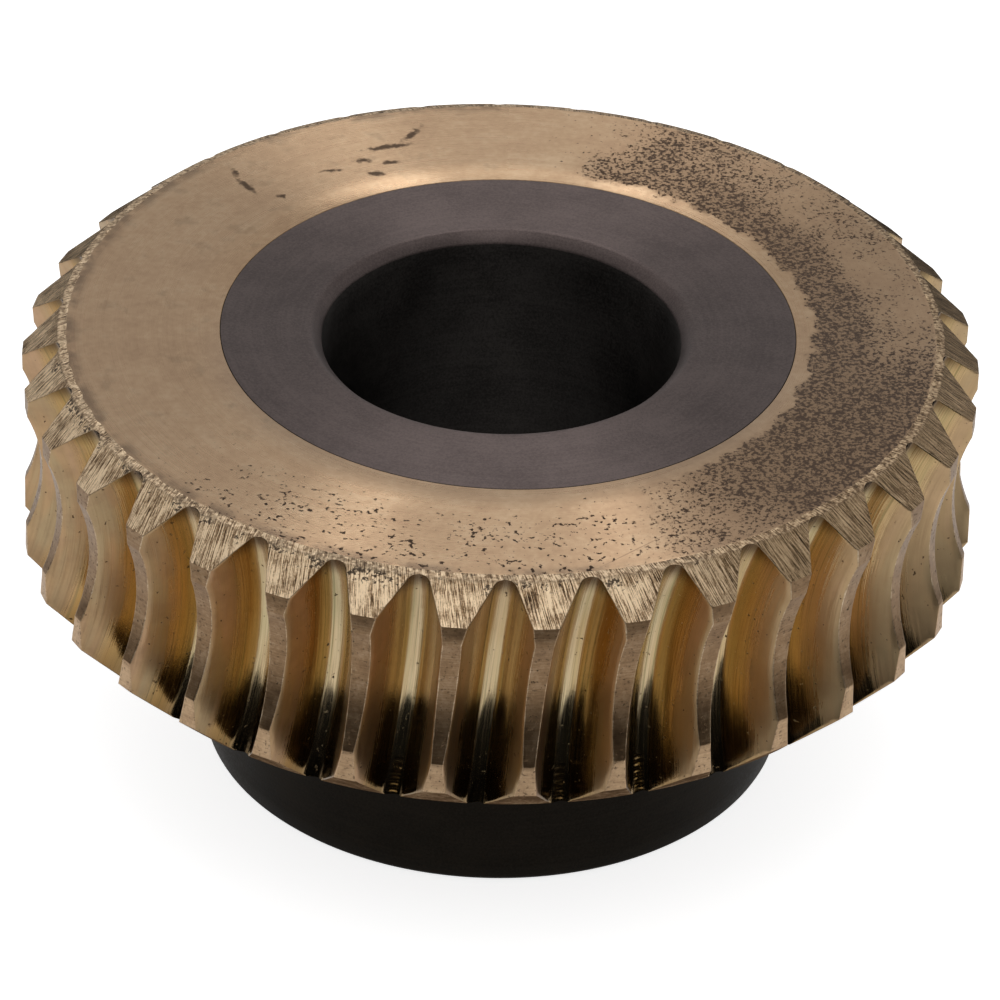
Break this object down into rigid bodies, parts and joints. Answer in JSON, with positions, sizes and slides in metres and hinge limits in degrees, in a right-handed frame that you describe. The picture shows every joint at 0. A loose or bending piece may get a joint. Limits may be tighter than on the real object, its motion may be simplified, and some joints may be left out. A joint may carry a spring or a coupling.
{
  "type": "worm gear",
  "caption": "Throated worm gear: a bronze rim with right-hand hobbed teeth and chamfered tooth ends, on a dark cast iron hub sleeve with a plain shaft bore.",
  "frame": {"origin": "centre of the hub's lower end face, on the axis of the bore", "axes": "+Z along the bore, from the hub's lower end up to the toothed rim; -Y points through the middle of a tooth space"},
  "size_m": [0.1012, 0.101, 0.0494],
  "materials": {
    "bronze": "turned faces, filed chamfers and polished tooth spaces, stained and pitted",
    "dark_iron": "dark matte, machined ends"
  },
  "bodies": {
    "root": {"bronze_rim": "bronze", "iron_hub": "dark_iron"}
  },
  "joints": []
}
